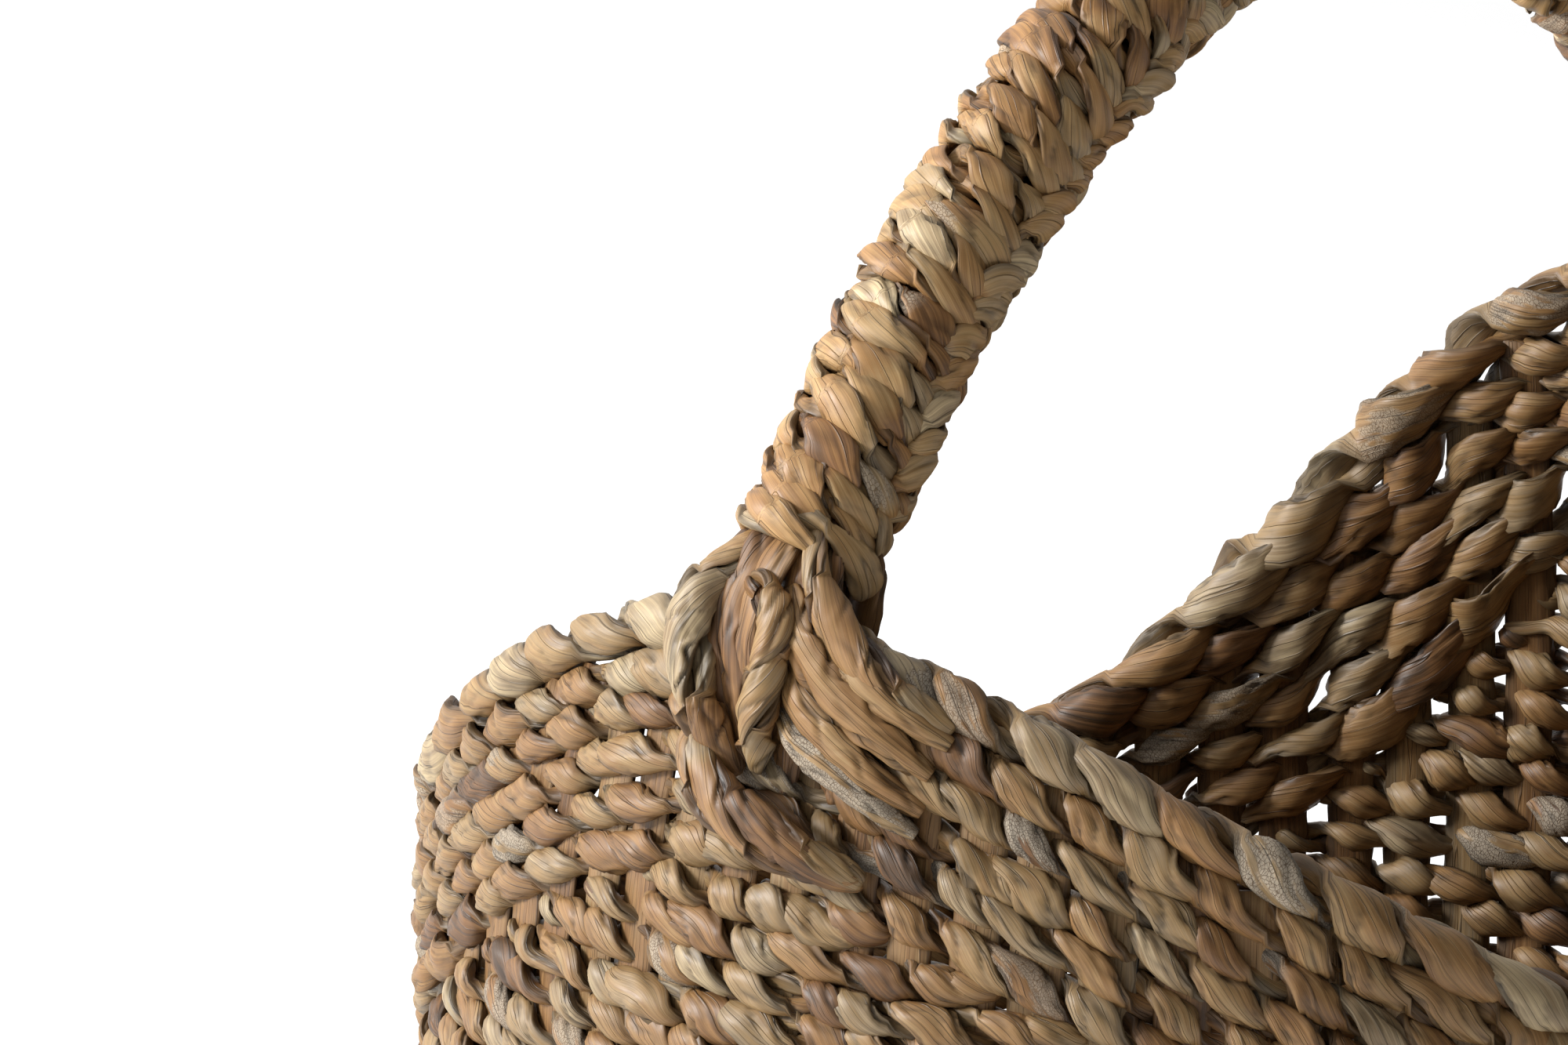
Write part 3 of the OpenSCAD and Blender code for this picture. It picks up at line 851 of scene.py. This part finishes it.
# Each point is mm across along the rim, up from its peak and out from the wall's middle
for side, root in (("near", 180.0), ("far", 0.0)):
    rng = np.random.default_rng(40 + int(root))
    loop = lash(root, [(-6, 16, 5), (-12, 9, 9), (-17.5, 0, 12.5), (-18.5, -10, 13.5), (-15, -20, 13.5),
                       (-8.5, -31, 12.5), (0, -42, 8)],
                plies=2, thick=3.2, wide=6.0, swing=2.4, lift=3.2, pass_length=34, rng=rng)
    make_piece(f"twisted_loop_{side}", [f"root_loop_{side}"], loop, lashing_leaf)
    braid = lash(root, [(-6, 3, 9), (2, 4, 13), (8.5, -3, 14.5), (9, -12, 14.5), (7, -24, 14), (6, -40, 8)],
                 plies=2, thick=2.8, wide=5.0, swing=2.2, lift=2.6, pass_length=21, rng=rng, tone_shift=0.02)
    make_piece(f"braid_{side}", [f"root_braid_{side}"], braid, lashing_leaf)
    # Leaves that come down from the handle and fold over the rim
    leaves = []
    for points, half_wide, tone, rolls in (
        (((-6, 22, 2), (-11, 10, 8), (-13, -2, 10), (-9, -18, 10), (-2, -38, 5)), 6.4, 0.22, (0.3, -0.35)),
        (((-2, 22, 2), (-5, 11, 9), (-7, -2, 11), (-5, -18, 10), (0, -38, 5)), 5.6, 0.28, (-0.3, 0.35)),
        (((3, 22, 2), (1, 11, 9.5), (-1, -2, 11.5), (-2, -14, 10), (2, -34, 4)), 6.8, 0.42, (0.35, 0.1)),
        (((6, 26, 1), (8, 12, 7), (11, -4, 7.5), (12, -20, 7), (12, -44, 3)), 7.0, 0.2, (0.0, 0.0)),
        (((10, 26, 0), (14, 10, 6), (20, -6, 7), (24, -22, 7), (28, -44, 3)), 7.0, 0.26, (0.1, 0.1)),
    ):
        leaves.append(flat_leaf(root, points, 2.2, half_wide, rng, tone, rolls, ends=(0.7, 0.5)))
    # Leaves that run off along the rim, the lowest one pale with cracked sheath
    for points, half_wide, tone, bark in (
        (((8, 5, 8), (15, -5, 13), (26, -15, 13), (40, -24, 11), (54, -33, 5)), 6.4, 0.5, 0.0),
        (((12, 15, 6), (19, 3, 12), (29, -7, 12.5), (43, -17, 11), (58, -25, 5)), 5.8, 0.55, 0.0),
        (((10, -12, 7), (17, -20, 11.5), (27, -27, 12), (40, -35, 10), (53, -42, 4)), 5.6, 0.5, 0.0),
        (((10, -24, 6), (18, -30, 11), (29, -35, 11.5), (42, -42, 9), (52, -48, 4)), 4.6, 0.5, 0.9),
    ):
        leaves.append(flat_leaf(root, points, 2.7, half_wide, rng, tone, (0.35, -0.25), bark))
    leaves += lash(root, [(10, 20, 8), (17, 8, 12), (27, -3, 12), (41, -13, 10), (58, -21, 5)],
                   plies=2, thick=2.6, wide=5.0, swing=2.0, lift=2.6, pass_length=30, rng=rng,
                   tone_shift=0.04, loose=0.6)
    # The same bundle folded down inside the wall
    for across in (-16, -6, 5, 15):
        points = ((across * 0.7, 28, -6), (across, 10, -12), (across, -6, -11.5), (across, -34, -7))
        leaves.append(flat_leaf(root, points, 2.2, 6.6, rng, 0.4))
    make_piece(f"root_leaves_{side}", [f"root_bundle_{side}"], leaves, lashing_leaf)
    fan = lash(root, [(-15, -29, 5), (-12, -37, 12), (-3, -45, 14), (10, -52, 14), (24, -57, 12),
                      (40, -62, 6)],
               plies=3, thick=3.0, wide=6.0, swing=2.2, lift=4.6, pass_length=44, rng=rng, tone_shift=0.02,
               crease=0.2, loose=0.6)
    make_piece(f"root_fan_{side}", [f"root_tie_{side}"], fan, lashing_leaf)
    # The last turn of the wrapping, a thicker ring tied over its end
    way = -1 if side == "near" else 1
    seg = 72
    beta = np.arange(seg) * 2 * np.pi / seg
    t_ring = way * (WRAP_HALF + 2)
    path, normal = round_handle(t_ring - RING_SLANT * np.sin(beta - FACING), beta, RING_R + 0 * beta)
    ring = twisted(path, normal, beta / (2 * np.pi) * RING_PASSES, rng, swing=1.8, lift=2.8, thick=2.5,
                   wide=5.6, count=RING_PASSES, sides=26, closed=True, loose=0.8,
                   crease=0.2, tight=0.6, flat=1.3)
    make_piece(f"wrap_end_ring_{side}", [f"foot_ring_{side}"], ring, wrap_leaf)

# ---------------------------------------------------------------- floor, light and camera
bpy.ops.mesh.primitive_plane_add(size=40, location=(0, 0, -0.0005))
floor = bpy.context.object
floor.name = "floor"
pale = bpy.data.materials.new("pale_floor")
pale.use_nodes = True
pale.node_tree.nodes["Principled BSDF"].inputs["Base Color"].default_value = (0.93, 0.93, 0.93, 1)
pale.node_tree.nodes["Principled BSDF"].inputs["Roughness"].default_value = 0.9
pale.node_tree.nodes["Principled BSDF"].inputs["Specular IOR Level"].default_value = 0.0
floor.data.materials.append(pale)

AIM = Vector((0, 0, 0.25))
CAM_AZIMUTH, CAM_ELEVATION, CAM_DISTANCE = -50.56, 17.27, 4.5


def back_of(azimuth, elevation):
    """Unit vector from the basket towards a viewer at an azimuth and elevation in degrees."""
    a, e = math.radians(azimuth), math.radians(elevation)
    return Vector((math.sin(a) * math.cos(e), -math.cos(a) * math.cos(e), math.sin(e)))


# The room is bright above, behind and to the left of the basket, and dim on the viewer's side
DIM, BRIGHT = 0.03, 1.62
from_left = back_of(CAM_AZIMUTH - 95, 0) * 0.62
from_behind = back_of(CAM_AZIMUTH + 180, 0) * 0.45
bright_way = (from_left + from_behind + Vector((0, 0, 0.64))).normalized()
world = bpy.data.worlds.new("studio")
world.use_nodes = True
sky = world.node_tree
sky.nodes["Background"].inputs["Color"].default_value = (1, 1, 1, 1)
where = sky.nodes.new("ShaderNodeTexCoord")
along_light = sky.nodes.new("ShaderNodeVectorMath")
along_light.operation = "DOT_PRODUCT"
along_light.inputs[1].default_value = bright_way
sky.links.new(where.outputs["Generated"], along_light.inputs[0])
level = sky.nodes.new("ShaderNodeMapRange")
level.inputs["From Min"].default_value = -0.05
level.inputs["From Max"].default_value = 1.0
level.inputs["To Min"].default_value = DIM
level.inputs["To Max"].default_value = BRIGHT
sky.links.new(along_light.outputs["Value"], level.inputs["Value"])
sky.links.new(level.outputs["Result"], sky.nodes["Background"].inputs["Strength"])
bpy.context.scene.world = world
bpy.context.scene.view_settings.view_transform = "Standard"


def soft_light(name, azimuth, elevation, distance, size, power):
    """A round lamp that faces the basket, its distance and size in metres and its power in watts."""
    data = bpy.data.lights.new(name, "AREA")
    data.shape = "DISK"
    data.size = size
    data.energy = power
    lamp = bpy.data.objects.new(name, data)
    back = back_of(azimuth, elevation)
    lamp.location = AIM + back * distance
    lamp.rotation_euler = back.to_track_quat("Z", "Y").to_euler()
    bpy.context.scene.collection.objects.link(lamp)
    return lamp


soft_light("key", CAM_AZIMUTH - 84, 22, 2.4, 0.7, 78)

# The camera: a long lens that looks past the near root, turned a little from the line to the rim
AIM_AZIMUTH, AIM_ELEVATION = CAM_AZIMUTH + 1.82, CAM_ELEVATION + 0.332
SENSOR = 36.0
LENS = 391.7
camera_data = bpy.data.cameras.new("camera")
camera_data.lens = LENS
camera_data.sensor_width = SENSOR
camera_data.clip_end = 100
camera = bpy.data.objects.new("camera", camera_data)
bpy.context.scene.collection.objects.link(camera)
camera.location = Vector((0, 0, PEAK * MM)) + back_of(CAM_AZIMUTH, CAM_ELEVATION) * CAM_DISTANCE
camera.rotation_euler = back_of(AIM_AZIMUTH, AIM_ELEVATION).to_track_quat("Z", "Y").to_euler()
bpy.context.scene.camera = camera
